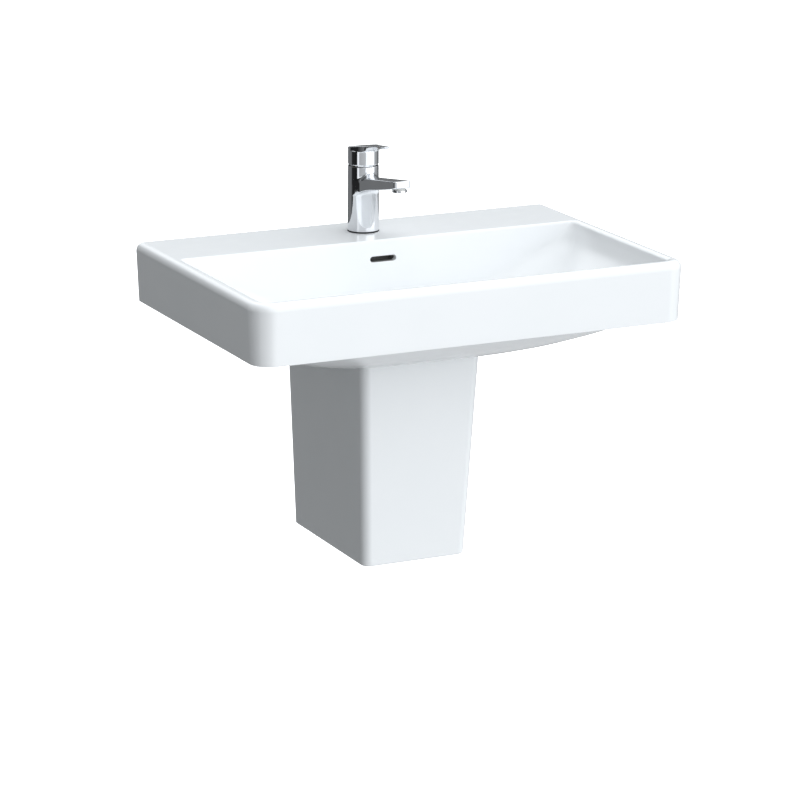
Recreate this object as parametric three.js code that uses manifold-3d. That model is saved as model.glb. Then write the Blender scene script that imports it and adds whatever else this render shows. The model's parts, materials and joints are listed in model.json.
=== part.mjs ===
// Wall-hung washbasin with a semi-pedestal, a single-lever mixer, a push-open waste and a bottle trap.
// Millimetres, +Z up. +X is to the right of a person facing the basin, and the wall is the plane y = 0.
// Inside the product group heights are counted from the rim top, which is z = 0 there; the group is then
// raised so that the part's origin lies on the basin's back face, midway between the two wall studs.
import * as THREE from 'three';
import { mergeVertices } from 'three/addons/utils/BufferGeometryUtils.js';
import Module from 'manifold-3d';

const wasm = await Module();
wasm.setup();

// ---- driving dimensions ----
const gap = 0.3; // between touching pieces

const basin = {
  width: 700,
  depth: 465,
  apronHeight: 91.5,
  taper: 0.042, // inward lean of the sides and front, per mm of height
  rimRadius: 12, // soft outer edge of the rim
  backEdgeRadius: 3,
  frontCornerRadius: 34,
  backCornerRadius: 4,
  rimWidth: 20,
  deckDepth: 138,
  deckThickness: 14,
  wall: 13,
  fixingDrop: 65, // wall studs below the rim top
  fixingPitch: 280,
  fixingHoleRadius: 10,
};

const belly = { centreY: -237.8, halfWidth: 330, halfDepth: 216, depth: 68, power: 4.3, bulge: 1.9, lip: 0.92 };

const drain = { y: -210, bore: 23, seatRadius: 33.5, seatZ: -128.5, spotFaceZ: -156, spotFaceRadius: 36 };

const plugTravel = 8; // the push plug stands this far open and is pushed down to close

const overflow = { width: 44, height: 9, z: -29.5, ductWidth: 44 };

const pedestal = {
  topWidth: 201,
  bottomWidth: 172.6,
  topDepth: 282,
  bottomDepth: 257,
  widthAtZ: -121,
  bottomZ: -479,
  cornerRadius: 14,
  wall: 11,
  bellyGap: 2.5,
  lugZ: -320,
  lugWidth: 27,
  lugHeight: 46,
  lugDepth: 13,
  lugHoleRadius: 6,
};

const tap = {
  y: -67,
  baseRadius: 24.4,
  topRadius: 23.75,
  bodyHeight: 103,
  sealThickness: 1.2,
  chamberRadius: 18.4,
  chamberFloor: 56,
  mouthRadius: 22.4,
  mouthFloor: 89.5,
  holeRadius: 17.5,
  spoutReach: 142,
  spoutHalfWidth: 14.2,
  spoutCorner: 5,
  aeratorReach: 130,
  aeratorRadius: 11.4,
};

const lever = {
  skirtBottom: 104.6,
  capBottom: 106.7,
  capTop: 127.4,
  skirt: 2.4,
  lipBottom: 102.6,
  lipOuter: 21.8,
  lipInner: 20.2,
  wrist: 0.62,
  tipReach: 88,
  tipZ: 146.6,
  tipHalfWidth: 6,
  thickness: 3.6,
};

const trap = { headTop: -256, headBottom: -302, headRadius: 28, cupBottom: -354, branchZ: -279, pipeRadius: 16 };

// ---- colours ----
const ceramicWhite = { color: 0xf3f6f7, roughness: 0.08, metalness: 0 };
const chrome = { color: 0xd9dcdf, roughness: 0.06, metalness: 1 };
const brass = { color: 0xc8a45a, roughness: 0.3, metalness: 1 };
const steel = { color: 0xb4b7ba, roughness: 0.35, metalness: 1 };
const rubber = { color: 0x1c1c1d, roughness: 0.8, metalness: 0 };
const nylonWhite = { color: 0xe8e8e4, roughness: 0.5, metalness: 0 };
const plasticGrey = { color: 0x6e7377, roughness: 0.5, metalness: 0 };

// ---- solids ----

// Signed volume of an indexed triangle mesh, positive when its faces point out.
function signedVolume(positions, index) {
  let sum = 0;
  const a = new THREE.Vector3();
  const b = new THREE.Vector3();
  const c = new THREE.Vector3();
  for (let i = 0; i < index.length; i += 3) {
    a.fromArray(positions, index[i] * 3);
    b.fromArray(positions, index[i + 1] * 3);
    c.fromArray(positions, index[i + 2] * 3);
    sum += a.dot(b.cross(c)) / 6;
  }
  return sum;
}

// A closed geometry with shared vertices, no collapsed triangles, and its faces pointing out.
function closed(geometry) {
  const bare = geometry.clone();
  bare.deleteAttribute('normal');
  bare.deleteAttribute('uv');
  const merged = mergeVertices(bare, 1e-3);
  const source = merged.index.array;
  const index = [];
  for (let i = 0; i < source.length; i += 3) {
    const [a, b, c] = [source[i], source[i + 1], source[i + 2]];
    if (a !== b && b !== c && c !== a) index.push(a, b, c);
  }
  const positions = merged.attributes.position.array;
  if (signedVolume(positions, index) < 0) {
    for (let i = 0; i < index.length; i += 3) [index[i], index[i + 1]] = [index[i + 1], index[i]];
  }
  const result = new THREE.BufferGeometry();
  result.setAttribute('position', new THREE.BufferAttribute(positions, 3));
  result.setIndex(index);
  return result;
}

function solid(geometry) {
  const tidy = closed(geometry);
  return new wasm.Manifold(new wasm.Mesh({
    numProp: 3,
    vertProperties: new Float32Array(tidy.attributes.position.array),
    triVerts: new Uint32Array(tidy.index.array),
  }));
}

function geometryOf(manifold) {
  const mesh = manifold.getMesh();
  const result = new THREE.BufferGeometry();
  result.setAttribute('position', new THREE.BufferAttribute(mesh.vertProperties, 3));
  result.setIndex(new THREE.BufferAttribute(mesh.triVerts, 1));
  return result;
}

// The body with every tool cut away, as a geometry.
function cut(body, ...tools) {
  let result = solid(body);
  for (const tool of tools) result = result.subtract(solid(tool));
  return geometryOf(result);
}

// The bodies joined into one, as a geometry.
function join(first, ...others) {
  let result = solid(first);
  for (const other of others) result = result.add(solid(other));
  return geometryOf(result);
}

// A shape turned about Z from a closed profile of [radius, z] points.
function turned(profile, segments = 24) {
  const points = profile.map(([r, z]) => new THREE.Vector2(r, z));
  const onAxis = profile[0][0] === 0 && profile[profile.length - 1][0] === 0;
  if (!onAxis) points.push(points[0].clone());
  return new THREE.LatheGeometry(points, segments).rotateX(Math.PI / 2);
}

function rod(radius, z0, z1, segments = 24) {
  return turned([[0, z0], [radius, z0], [radius, z1], [0, z1]], segments);
}

function ring(outer, inner, z0, z1, segments = 24) {
  return turned([[inner, z0], [outer, z0], [outer, z1], [inner, z1]], segments);
}

// A rod along Y instead of Z, from y0 to y1, through (x, z).
function crossRod(radius, x, y0, y1, z, segments = 20) {
  return rod(radius, y0, y1, segments).rotateX(-Math.PI / 2).translate(x, 0, z);
}

function block(x0, x1, y0, y1, z0, z1) {
  const box = new THREE.BoxGeometry(x1 - x0, y1 - y0, z1 - z0);
  return box.translate((x0 + x1) / 2, (y0 + y1) / 2, (z0 + z1) / 2);
}

function polygonShape(radius, sides, turn = 0) {
  const shape = new THREE.Shape();
  for (let i = 0; i < sides; i += 1) {
    const angle = turn + (i * 2 * Math.PI) / sides;
    const [x, y] = [radius * Math.cos(angle), radius * Math.sin(angle)];
    if (i === 0) shape.moveTo(x, y);
    else shape.lineTo(x, y);
  }
  shape.closePath();
  return shape;
}

// A hexagon nut along Z with a plain bore.
function hexNut(acrossFlats, bore, z0, z1) {
  const shape = polygonShape(acrossFlats / Math.sqrt(3), 6);
  const hole = new THREE.Path();
  hole.absarc(0, 0, bore, 0, 2 * Math.PI, true);
  shape.holes.push(hole);
  const nut = new THREE.ExtrudeGeometry(shape, { depth: z1 - z0, bevelEnabled: false, curveSegments: 12 });
  return nut.translate(0, 0, z0);
}

// A solid through a stack of outlines with equally many points, closed by a fan at both ends.
function loft(outlines) {
  const count = outlines[0].length;
  const positions = [];
  const index = [];
  for (const outline of outlines) for (const point of outline) positions.push(point.x, point.y, point.z);
  for (let level = 0; level < outlines.length - 1; level += 1) {
    for (let i = 0; i < count; i += 1) {
      const next = (i + 1) % count;
      const [a, b] = [level * count + i, level * count + next];
      const [c, d] = [a + count, b + count];
      index.push(a, b, d, a, d, c);
    }
  }
  for (const level of [0, outlines.length - 1]) {
    const middle = new THREE.Vector3();
    for (const point of outlines[level]) middle.addScaledVector(point, 1 / count);
    const hub = positions.length / 3;
    positions.push(middle.x, middle.y, middle.z);
    for (let i = 0; i < count; i += 1) {
      const [a, b] = [level * count + i, level * count + ((i + 1) % count)];
      if (level === 0) index.push(hub, b, a);
      else index.push(hub, a, b);
    }
  }
  const result = new THREE.BufferGeometry();
  result.setAttribute('position', new THREE.BufferAttribute(new Float32Array(positions), 3));
  result.setIndex(index);
  return result;
}

// A rounded rectangle at height z: half width a, from yFront to yBack, with its front and back corner radii.
function roundedOutline(z, a, yFront, yBack, rFront, rBack, steps = 7) {
  const corners = [
    [a - rFront, yFront + rFront, rFront, -90],
    [a - rBack, yBack - rBack, rBack, 0],
    [-a + rBack, yBack - rBack, rBack, 90],
    [-a + rFront, yFront + rFront, rFront, 180],
  ];
  const points = [];
  for (const [cx, cy, r, start] of corners) {
    for (let i = 0; i <= steps; i += 1) {
      const angle = THREE.MathUtils.degToRad(start + (90 * i) / steps);
      points.push(new THREE.Vector3(cx + r * Math.cos(angle), cy + r * Math.sin(angle), z));
    }
  }
  return points;
}

// ---- basin ----

// The block of the basin down to the apron's lower edge, leaning in towards the bottom, soft at the rim.
function apronBlock() {
  const { width, depth, apronHeight, taper, rimRadius, backEdgeRadius } = basin;
  const level = (z, inset, backInset) => roundedOutline(
    z,
    width / 2 - inset,
    -depth + inset,
    -backInset,
    basin.frontCornerRadius - inset,
    Math.max(basin.backCornerRadius - backInset, 1),
  );
  const outlines = [level(-apronHeight, taper * (apronHeight - rimRadius), 0)];
  const steps = 5;
  for (let i = 0; i <= steps; i += 1) {
    const angle = (i / steps) * (Math.PI / 2);
    const z = -rimRadius * (1 - Math.sin(angle));
    const inset = rimRadius * (1 - Math.cos(angle));
    outlines.push(level(z, inset, (backEdgeRadius * inset) / rimRadius));
  }
  return loft(outlines);
}

// Height of the underside's bulge at a share of the way out from its centre.
function bellyZ(share) {
  return -basin.apronHeight - belly.depth * (1 - share ** belly.bulge) ** belly.lip;
}

// The bulge under the basin, a dome over a superellipse; grow pushes it outwards all round.
function bellySolid(grow = 0) {
  const around = 56;
  const outline = (share, z) => {
    const points = [];
    for (let i = 0; i < around; i += 1) {
      const angle = (i * 2 * Math.PI) / around;
      const [c, s] = [Math.cos(angle), Math.sin(angle)];
      const reach = (Math.abs(c) ** belly.power + Math.abs(s) ** belly.power) ** (-1 / belly.power);
      const x = share * (belly.halfWidth + grow) * reach * c;
      const y = belly.centreY + share * (belly.halfDepth + grow) * reach * s;
      points.push(new THREE.Vector3(x, Math.min(y, 0), z));
    }
    return points;
  };
  const shares = [0.06, 0.22, 0.38, 0.54, 0.68, 0.8, 0.9, 0.96];
  const outlines = shares.map((share) => outline(share, bellyZ(share) - grow));
  outlines.push(outline(1, -basin.apronHeight - grow));
  outlines.push(outline(1, -basin.apronHeight + 12));
  return loft(outlines);
}

// The bowl's hollow: steep just under the rim, then sloping in, with corners that open out with depth.
function bowlHollow() {
  const back = -basin.deckDepth;
  const front = -basin.depth + basin.rimWidth;
  const half = basin.width / 2 - basin.rimWidth;
  const levels = [
    // [depth, side inset, front inset, back inset, front corner, back corner]
    [-4, 0, 0, 0, 14, 10],
    [0, 0, 0, 0, 14, 10],
    [15, 6, 2, 0.6, 18, 18],
    [31, 15, 5, 1.5, 27, 30],
    [45, 31, 9, 2.5, 38, 44],
    [61, 53, 13, 4.5, 50, 60],
    [79, 80, 17, 7, 62, 78],
    [94, 104, 22, 11, 70, 84],
    [104, 126, 32, 17, 74, 80],
    [111, 152, 50, 24, 70, 74],
    [117, 196, 92, 31, 58, 62],
    [123, 246, 158, 36, 44, 48],
  ];
  const outlines = levels.map(([down, side, ahead, behind, rFront, rBack]) => (
    roundedOutline(-down, half - side, front + ahead, back - behind, rFront, rBack)
  ));
  const seat = drain.seatRadius + 0.5;
  outlines.push(roundedOutline(-125, seat, drain.y - seat, drain.y + seat, seat, seat));
  outlines.push(roundedOutline(drain.seatZ, seat, drain.y - seat, drain.y + seat, seat, seat));
  return loft(outlines);
}

function slotSolid(width, height, y0, y1, z) {
  const shape = new THREE.Shape();
  const reach = (width - height) / 2;
  shape.absarc(reach, 0, height / 2, -Math.PI / 2, Math.PI / 2, false);
  shape.absarc(-reach, 0, height / 2, Math.PI / 2, (3 * Math.PI) / 2, false);
  shape.closePath();
  const slot = new THREE.ExtrudeGeometry(shape, { depth: y1 - y0, bevelEnabled: false, curveSegments: 8 });
  return slot.rotateX(Math.PI / 2).translate(0, y1, z);
}

function makeBasin() {
  const { deckThickness, wall, deckDepth, width } = basin;
  const recessHalf = width / 2 - wall - 4;
  const recessFront = -deckDepth + wall;
  const ridgeFront = recessFront + 18;
  const recess = block(-recessHalf, recessHalf, recessFront, -wall, -200, -deckThickness);
  const ridge = block(-34, 34, recessFront - 2, ridgeFront, -141, -deckThickness + 2);
  const channel = block(-overflow.ductWidth / 2, overflow.ductWidth / 2, recessFront - 5, ridgeFront - 6, -127, -26);
  const lowDuct = block(-15, 15, -36, 36, -5, 5);
  lowDuct.rotateX(Math.atan2(16, 67)).translate(0, -162, -131.5);
  const shell = solid(apronBlock()).add(solid(bellySolid())).subtract(solid(bowlHollow()));
  let body = shell.subtract(solid(recess)).add(solid(ridge));
  const cuts = [
    channel,
    lowDuct,
    slotSolid(overflow.width, overflow.height, -deckDepth - 6, recessFront + 4, overflow.z),
    rod(drain.bore, -170, -120).translate(0, drain.y, 0),
    rod(drain.spotFaceRadius, -170, drain.spotFaceZ, 30).translate(0, drain.y, 0),
    rod(tap.holeRadius, -20, 5).translate(0, tap.y, 0),
  ];
  for (const side of [-1, 1]) {
    const x = (side * basin.fixingPitch) / 2;
    cuts.push(crossRod(basin.fixingHoleRadius, x, -wall - 3, 3, -basin.fixingDrop));
  }
  for (const tool of cuts) body = body.subtract(solid(tool));
  return geometryOf(body);
}

// ---- semi-pedestal ----

// The pedestal's outer form, or with an inset the hollow inside its walls.
function pedestalForm(inset, z0, z1, yBack) {
  const rise = pedestal.widthAtZ - pedestal.bottomZ;
  const share = (z) => (z - pedestal.bottomZ) / rise;
  const half = (z) => THREE.MathUtils.lerp(pedestal.bottomWidth, pedestal.topWidth, share(z)) / 2 - inset;
  const front = (z) => -THREE.MathUtils.lerp(pedestal.bottomDepth, pedestal.topDepth, share(z)) + inset;
  const radius = Math.max(pedestal.cornerRadius - inset, 4);
  const level = (z, extra) => roundedOutline(z, half(z) - extra, front(z) + extra, yBack, radius - extra, 1);
  const edge = 3;
  const low = [level(z0, edge), level(z0 + 1, 1.2), level(z0 + edge, 0)];
  const mid = (z0 + z1) / 2;
  return loft([...low, level(mid, 0), level(z1, 0)]);
}

function makePedestal() {
  const top = -90;
  const { wall, bottomZ, bellyGap, lugZ, lugWidth, lugHeight, lugDepth, lugHoleRadius } = pedestal;
  let body = solid(pedestalForm(0, bottomZ, top, 0));
  body = body.subtract(solid(pedestalForm(wall, bottomZ + wall, top + 5, 5)));
  for (const side of [-1, 1]) {
    const x = side * lugCentre();
    const lug = block(x - lugWidth / 2, x + lugWidth / 2, -lugDepth, -0.5, lugZ - lugHeight / 2, lugZ + lugHeight / 2);
    body = body.add(solid(lug)).subtract(solid(crossRod(lugHoleRadius, x, -lugDepth - 3, 3, lugZ)));
  }
  const underBelly = block(-400, 400, -500, -basin.deckDepth + basin.wall + bellyGap, -300, 0);
  body = body.subtract(solid(bellySolid(bellyGap)).intersect(solid(underBelly)));
  body = body.subtract(solid(block(-200, 200, -300, 10, -basin.apronHeight - bellyGap, -60)));
  return geometryOf(body);
}

// Distance of a lug's hole from the middle: the lug reaches from inside the side wall towards the middle.
function lugCentre() {
  const share = (pedestal.lugZ - pedestal.bottomZ) / (pedestal.widthAtZ - pedestal.bottomZ);
  const half = THREE.MathUtils.lerp(pedestal.bottomWidth, pedestal.topWidth, share) / 2;
  return half - pedestal.wall - pedestal.lugWidth / 2 + 3;
}

// ---- wall fixings, along a local Z that points out of the wall ----

function basinFixing() {
  const face = basin.wall;
  return {
    stud: [rod(4.9, 0.3, face + 30, 20), steel],
    bush: [turned([[5.3, 1], [9.7, 1], [9.7, face + gap], [15, face + gap], [15, face + 4], [5.3, face + 4]], 20),
      nylonWhite],
    washer: [ring(12.5, 5.3, face + 4.3, face + 6.5, 20), steel],
    nut: [hexNut(17, 5.3, face + 6.8, face + 15), steel],
  };
}

function pedestalFixing() {
  const face = pedestal.lugDepth;
  return {
    stud: [rod(3.4, 0.3, face + 19, 16), steel],
    sleeve: [turned([[3.8, 1], [5.7, 1], [5.7, face + gap], [10, face + gap], [10, face + 2.5], [3.8, face + 2.5]], 24),
      nylonWhite],
    washer: [ring(9, 3.8, face + 2.8, face + 4.4, 24), steel],
    nut: [hexNut(13, 3.8, face + 4.7, face + 10.7), steel],
  };
}

// ---- tap ----

// Side outline of the spout, forward reach along +X and height along +Y, before it is given its width.
function spoutShape() {
  const shape = new THREE.Shape();
  shape.moveTo(12, 66);
  shape.lineTo(24, 67.5);
  shape.quadraticCurveTo(34, 70.2, 48, 73);
  shape.lineTo(130, 88.6);
  shape.lineTo(tap.spoutReach, 91.6);
  shape.lineTo(tap.spoutReach, 102.4);
  shape.lineTo(tap.spoutReach - 1.2, 103.3);
  shape.lineTo(52, 90.8);
  shape.quadraticCurveTo(34, 88.4, 24, 94);
  shape.lineTo(12, 94);
  shape.closePath();
  return shape;
}

// Plan of the spout with its two rounded front corners, used to trim the extruded side outline.
function spoutPlan() {
  const { spoutHalfWidth, spoutReach, spoutCorner: r } = tap;
  const shape = new THREE.Shape();
  shape.moveTo(-spoutHalfWidth - 2, 0);
  shape.lineTo(-spoutHalfWidth, -spoutReach + r);
  shape.absarc(-spoutHalfWidth + r, -spoutReach + r, r, Math.PI, 1.5 * Math.PI, false);
  shape.absarc(spoutHalfWidth - r, -spoutReach + r, r, 1.5 * Math.PI, 2 * Math.PI, false);
  shape.lineTo(spoutHalfWidth + 2, 0);
  shape.closePath();
  return shape;
}

function makeTapBody() {
  const { baseRadius, topRadius, bodyHeight, sealThickness, chamberRadius, chamberFloor, mouthRadius } = tap;
  const column = turned([
    [0, sealThickness + 2 * gap],
    [baseRadius - 0.6, sealThickness + 2 * gap],
    [baseRadius, sealThickness + 1.5],
    [topRadius, bodyHeight - 0.6],
    [topRadius - 0.6, bodyHeight],
    [0, bodyHeight],
  ], 44);
  const profile = new THREE.ExtrudeGeometry(spoutShape(), { depth: 40, bevelEnabled: false, curveSegments: 6 });
  profile.rotateX(Math.PI / 2).rotateZ(-Math.PI / 2).translate(20, 0, 0);
  const plan = new THREE.ExtrudeGeometry(spoutPlan(), { depth: 80, bevelEnabled: false, curveSegments: 5 });
  plan.translate(0, 0, 45);
  const spout = solid(profile).intersect(solid(plan));
  let body = solid(column).add(spout);
  const waterway = rod(5, -60, 60, 16).rotateX(Math.PI / 2 - Math.atan2(20, 96)).translate(0, -74, 83.5);
  const cuts = [
    rod(chamberRadius, chamberFloor, bodyHeight + 2, 30),
    rod(mouthRadius, tap.mouthFloor, bodyHeight + 2, 36),
    waterway,
    rod(tap.aeratorRadius - 1.6, 60, 95.5, 20).translate(0, -tap.aeratorReach, 0),
    rod(tap.aeratorRadius + 0.3, 60, 88.7, 30).translate(0, -tap.aeratorReach, 0),
    rod(19.5, -2, 9, 24),
    rod(4.3, 5, 22, 16).translate(0, 9.5, 0),
  ];
  for (const side of [-1, 1]) cuts.push(rod(5.4, 5, chamberFloor + 2, 18).translate(side * 8, -5, 0));
  for (const tool of cuts) body = body.subtract(solid(tool));
  return geometryOf(body);
}

// The cartridge is dropped into the chamber and held down by a screwed ring; its head turns and the stem tilts.
function cartridgeParts() {
  const floor = tap.chamberFloor;
  const sealTop = floor + 2.3;
  return {
    tap_cartridge_seal: [ring(16.5, 14, floor + gap, sealTop, 24), rubber],
    tap_cartridge: [cut(
      rod(17.9, sealTop + gap, 86, 26),
      rod(13.4, 80, 90, 24),
      rod(4.2, sealTop - 2, sealTop + 12, 16).translate(8, -5, 0),
      rod(4.2, sealTop - 2, sealTop + 12, 16).translate(-8, -5, 0),
    ), plasticGrey],
    tap_cartridge_nut: [cut(
      ring(18, 13.6, 86 + gap, 92, 30),
      ...[0, 1, 2, 3, 4, 5].map((i) => (
        block(17, 22, -1.5, 1.5, 89, 95).rotateZ((i * Math.PI) / 3)
      )),
    ), brass],
    tap_cartridge_head: [cut(
      turned([[0, 80.4], [12.9, 80.4], [12.9, 92], [12.4, 97.5], [0, 97.5]], 24),
      block(-4.6, 4.6, -16, 5, 92.5, 100),
    ), nylonWhite],
  };
}

// Handle: a flat-topped cap over the cartridge whose lid runs forward into a thin, rising, tapering lever.
function makeHandle() {
  const { capBottom, capTop, skirt, tipReach, tipZ, tipHalfWidth, thickness, wrist } = lever;
  const r = tap.topRadius;
  const cap = turned([
    [0, lever.skirtBottom],
    [r - 0.6, lever.skirtBottom],
    [r, lever.skirtBottom + 2],
    [r, capTop],
    [0, capTop],
  ], 44);
  const plan = new THREE.Shape();
  plan.moveTo(-tipHalfWidth + 2, -tipReach);
  plan.lineTo(tipHalfWidth - 2, -tipReach);
  plan.quadraticCurveTo(tipHalfWidth, -tipReach, tipHalfWidth, -tipReach + 2);
  plan.quadraticCurveTo(tipHalfWidth + 4, -44, r * Math.cos(wrist), -r * Math.sin(wrist));
  plan.absarc(0, 0, r, -wrist, Math.PI + wrist, false);
  plan.quadraticCurveTo(-tipHalfWidth - 4, -44, -tipHalfWidth, -tipReach + 2);
  plan.quadraticCurveTo(-tipHalfWidth, -tipReach, -tipHalfWidth + 2, -tipReach);
  const lid = new THREE.ExtrudeGeometry(plan, { depth: 40, bevelEnabled: false, curveSegments: 9 });
  lid.translate(0, 0, 110);
  const side = new THREE.Shape();
  const back = -r - 1;
  side.moveTo(back, capTop - 0.5);
  side.lineTo(20, capTop - 0.5);
  side.quadraticCurveTo(27, capTop + 0.4, 38, capTop + 4.8);
  side.lineTo(62, capTop + 11);
  side.lineTo(tipReach + 1, tipZ - thickness);
  side.lineTo(tipReach + 1, tipZ);
  side.quadraticCurveTo(30, capTop + 11, back, capTop + 1.5);
  side.closePath();
  const slab = new THREE.ExtrudeGeometry(side, { depth: 60, bevelEnabled: false, curveSegments: 6 });
  slab.rotateX(Math.PI / 2).rotateZ(-Math.PI / 2).translate(30, 0, 0);
  const top = solid(lid).intersect(solid(slab));
  let body = solid(cap).add(top);
  const hollow = rod(r - skirt, capBottom - 5, capTop - 3.9, 36);
  const hub = cut(rod(8, capBottom + 2, capTop - 1.9, 20), block(-4.3, 4.3, -4.3, 4.3, capBottom - 2, capTop - 6.9));
  const lip = ring(lever.lipOuter, lever.lipInner, lever.lipBottom, capBottom + 4, 40);
  body = body.subtract(solid(hollow)).add(solid(hub)).add(solid(lip));
  const screwWay = crossRod(2.6, 0, 2, r + 4, capBottom + 7.5, 16);
  return geometryOf(body.subtract(solid(screwWay)));
}

function handleParts() {
  const { capBottom, capTop } = lever;
  const screwZ = capBottom + 7.5;
  const stemHalf = 4;
  return {
    tap_handle: [makeHandle(), chrome],
    tap_cartridge_stem: [block(-stemHalf, stemHalf, -stemHalf, stemHalf, 93.5, capTop - 7.3), steel],
    tap_handle_screw: [crossRod(2.3, 0, stemHalf + gap, 13, screwZ, 16), steel],
    tap_handle_plug: [crossRod(2.3, 0, 19, 23.4, screwZ, 16), plasticGrey],
  };
}

function tapParts() {
  const { holeRadius, baseRadius, sealThickness, aeratorRadius, aeratorReach } = tap;
  const under = -basin.deckThickness;
  const horseshoe = (outer, z0, z1) => cut(
    rod(outer, z0, z1, 26),
    rod(4.7, z0 - 2, z1 + 2, 18).translate(0, 9.5, 0),
    block(-14, 14, -40, 2.5, z0 - 2, z1 + 2),
  );
  const parts = {
    tap_body: [makeTapBody(), chrome],
    tap_base_seal: [ring(baseRadius + 0.2, 20, gap, gap + sealThickness, 36), rubber],
    tap_fixing_stud: [rod(3.9, -52, 21.6, 18).translate(0, 9.5, 0), brass],
    tap_clamp_seal: [horseshoe(holeRadius + 7, under - 3, under - gap), rubber],
    tap_clamp_plate: [horseshoe(holeRadius + 6.5, under - 5.8, under - 3.3), steel],
    tap_clamp_nut: [hexNut(11, 4.3, under - 18, under - 6.1).translate(0, 9.5, 0), brass],
    tap_aerator_housing: [ring(aeratorRadius, aeratorRadius - 2.4, 84.6, 88.4, 30).translate(0, -aeratorReach, 0), chrome],
    tap_aerator_insert: [cut(
      rod(aeratorRadius - 2.7, 85.4, 94.6, 24),
      ...[0, 1, 2, 3, 4, 5].map((i) => (
        rod(1.5, 80, 98, 10).translate(4.4 * Math.cos((i * Math.PI) / 3), 4.4 * Math.sin((i * Math.PI) / 3), 0)
      )),
      rod(1.5, 80, 98, 10),
    ).translate(0, -aeratorReach, 0), nylonWhite],
  };
  for (const [name, side] of [['hot', -1], ['cold', 1]]) {
    parts[`${name}_inlet_union`] = [turned([
      [3, -46],
      [6.3, -46],
      [6.3, -34],
      [5, -34],
      [5, 24],
      [3, 24],
    ], 20).translate(side * 8, -5, 0), brass];
  }
  return { ...parts, ...cartridgeParts() };
}

// ---- push-open waste, turned about the drain axis ----

function springCoil(radius, wire, z0, z1, turns) {
  class Helix extends THREE.Curve {
    getPoint(t, target = new THREE.Vector3()) {
      const angle = t * turns * 2 * Math.PI;
      return target.set(radius * Math.cos(angle), radius * Math.sin(angle), THREE.MathUtils.lerp(z0, z1, t));
    }
  }
  const wireShape = polygonShape(wire, 4);
  return new THREE.ExtrudeGeometry(wireShape, { steps: turns * 10, extrudePath: new Helix(), bevelEnabled: false });
}

function wasteParts() {
  const { seatZ, spotFaceZ } = drain;
  const flangeTop = seatZ + 4.6;
  const bodyEnd = -208;
  const slots = [];
  for (const side of [-1, 1]) slots.push(block(-6, 6, side * 26 - 10, side * 26 + 10, -145, -134));
  const body = cut(turned([
    [18.4, bodyEnd],
    [20.8, bodyEnd],
    [20.8, flangeTop - 3],
    [31.5, flangeTop - 3],
    [31.5, flangeTop - 1],
    [30, flangeTop],
    [20.5, flangeTop - 0.6],
    [18.4, flangeTop - 2.4],
  ], 36), ...slots);
  const arms = [0, 1, 2].map((i) => block(0, 18.1, -1.4, 1.4, -172, -160).rotateZ((i * 2 * Math.PI) / 3));
  const guide = cut(
    join(ring(18.1, 16.4, -172, -160, 26), rod(7.6, -176, -156, 20), ...arms),
    rod(5.4, -180, -150, 24),
  );
  const capBottom = flangeTop + plugTravel + gap;
  return {
    waste_body: [body, chrome],
    waste_flange_seal: [ring(31, 24, seatZ + gap, flangeTop - 3.3, 30), rubber],
    waste_lower_seal: [ring(32, 21.3, spotFaceZ - 4.3, spotFaceZ - gap, 26), rubber],
    waste_slip_washer: [ring(32, 21.3, spotFaceZ - 6, spotFaceZ - 4.6, 26), nylonWhite],
    waste_back_nut: [hexNut(58, 21.2, spotFaceZ - 15, spotFaceZ - 6.3), brass],
    waste_guide: [guide, plasticGrey],
    plug_cap: [turned([
      [0, capBottom],
      [28.8, capBottom],
      [30.5, capBottom + 1.6],
      [29.8, capBottom + 3],
      [24, capBottom + 4.4],
      [0, capBottom + 5.4],
    ], 36), chrome],
    plug_seal: [turned([
      [6.2, capBottom - 2.2],
      [17.2, capBottom - 2.2],
      [16.6, capBottom - gap],
      [6.2, capBottom - gap],
    ], 24), rubber],
    plug_stem: [turned([
      [0, -184],
      [4.9, -184],
      [4.9, capBottom - 8],
      [5.9, capBottom - 8],
      [5.9, capBottom - gap],
      [0, capBottom - gap],
    ], 24), brass],
    plug_spring: [springCoil(6.6, 0.6, -155, capBottom - 9.6, 4), steel],
  };
}

// ---- bottle trap ----

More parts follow.
